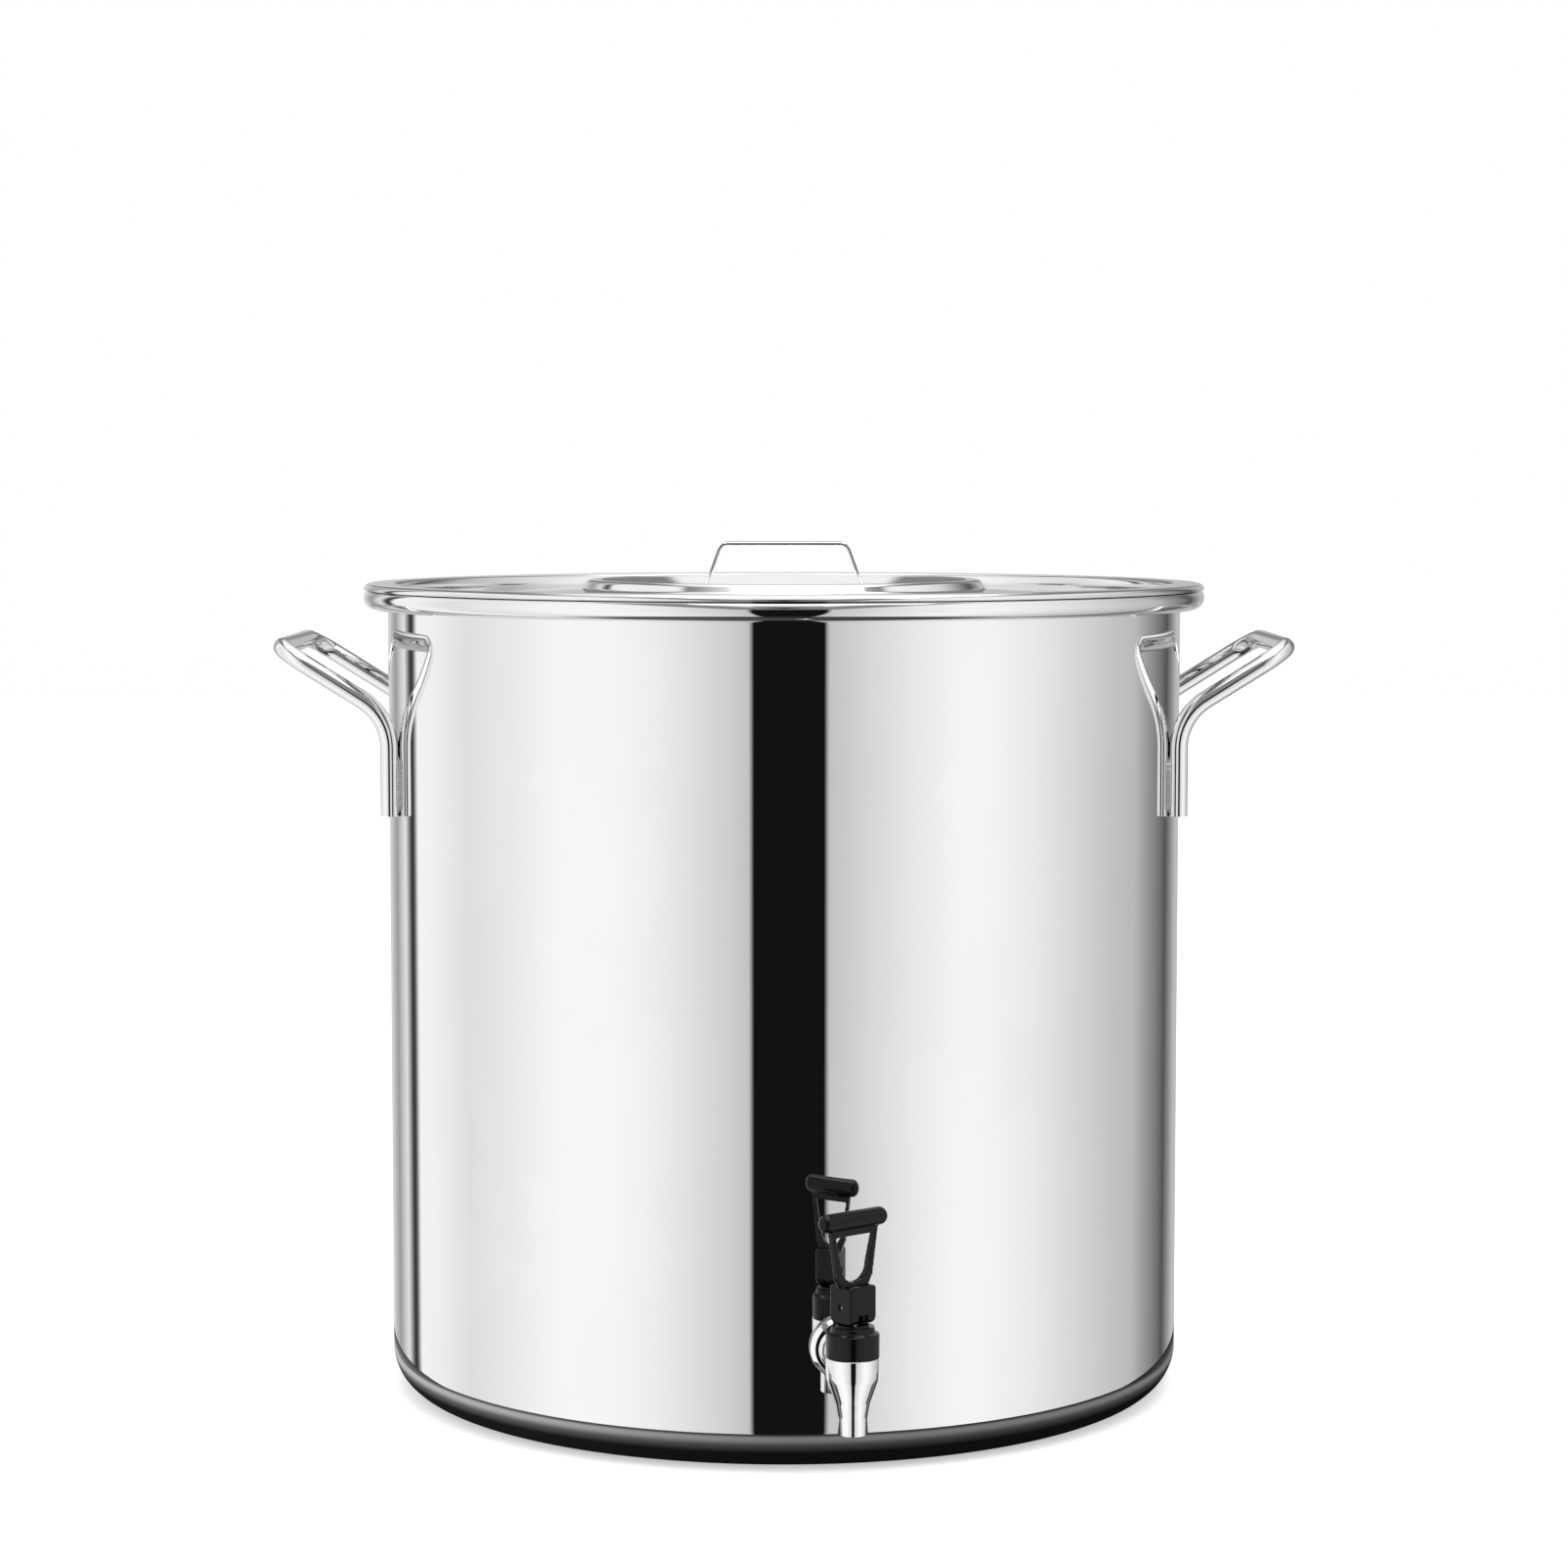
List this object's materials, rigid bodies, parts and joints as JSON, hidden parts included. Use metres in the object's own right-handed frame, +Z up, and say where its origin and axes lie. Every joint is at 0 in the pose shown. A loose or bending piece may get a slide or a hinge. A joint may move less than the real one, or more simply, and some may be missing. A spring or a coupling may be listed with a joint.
{
  "type": "brew kettle",
  "caption": "Tall polished stainless brew kettle with a rolled rim, loop handles, a stepped lift-off lid with a strap handle, and a self-closing lever tap near the floor.",
  "frame": {"origin": "middle of the flat base, on the surface that the kettle stands on", "axes": "+Z up along the pot's axis; the two loop handles lie along X; -Y is the front, where the tap is"},
  "size_m": [0.503, 0.4631, 0.426],
  "materials": {
    "polished_steel": "mirror polished",
    "chrome_plate": "polished",
    "plain_steel": "satin",
    "black_plastic": "gloss",
    "silicone": "matte"
  },
  "bodies": {
    "kettle": {"pot_shell": "polished_steel", "right_handle_loop": "polished_steel", "left_handle_loop": "polished_steel", "tap_body": "chrome_plate", "tap_flange": "chrome_plate", "outer_washer": "silicone", "inner_washer": "silicone", "backing_washer": "plain_steel", "lock_nut": "plain_steel", "tap_bonnet": "black_plastic", "bonnet_o_ring": "silicone", "valve_spring": "plain_steel"},
    "lid": {"lid_shell": "polished_steel", "lid_strap": "polished_steel"},
    "seal": {"valve_seal": "silicone"},
    "stem": {"valve_stem": "plain_steel", "lever_pin": "plain_steel"},
    "lever": {"tap_lever": "black_plastic"}
  },
  "joints": [
    {"name": "lid_lift", "type": "slide", "parent": "kettle", "child": "lid", "axis": [0, 0, 1], "range_m": [0, 0.15]},
    {"name": "stem_lift", "type": "slide", "parent": "kettle", "child": "seal", "axis": [0, 0, 1], "range_m": [0, 0.00236], "deforming": ["valve_spring"]},
    {"name": "lever_swivel", "type": "hinge", "parent": "seal", "child": "stem", "pos_m": [0.03091, -0.238, 0.057], "axis": [0, 0, 1], "continuous": true},
    {"name": "lever_tilt", "type": "hinge", "parent": "stem", "child": "lever", "pos_m": [0.03091, -0.238, 0.0876], "axis": [0.7615, 0.6481, 0], "range_deg": [0, 45], "stiffness_Nm_per_rad": 0.3, "springref_deg": -17.19}
  ],
  "couplings": [
    {"joint": "lever_tilt", "follows": "stem_lift", "rad_per_m": 333.33}
  ]
}
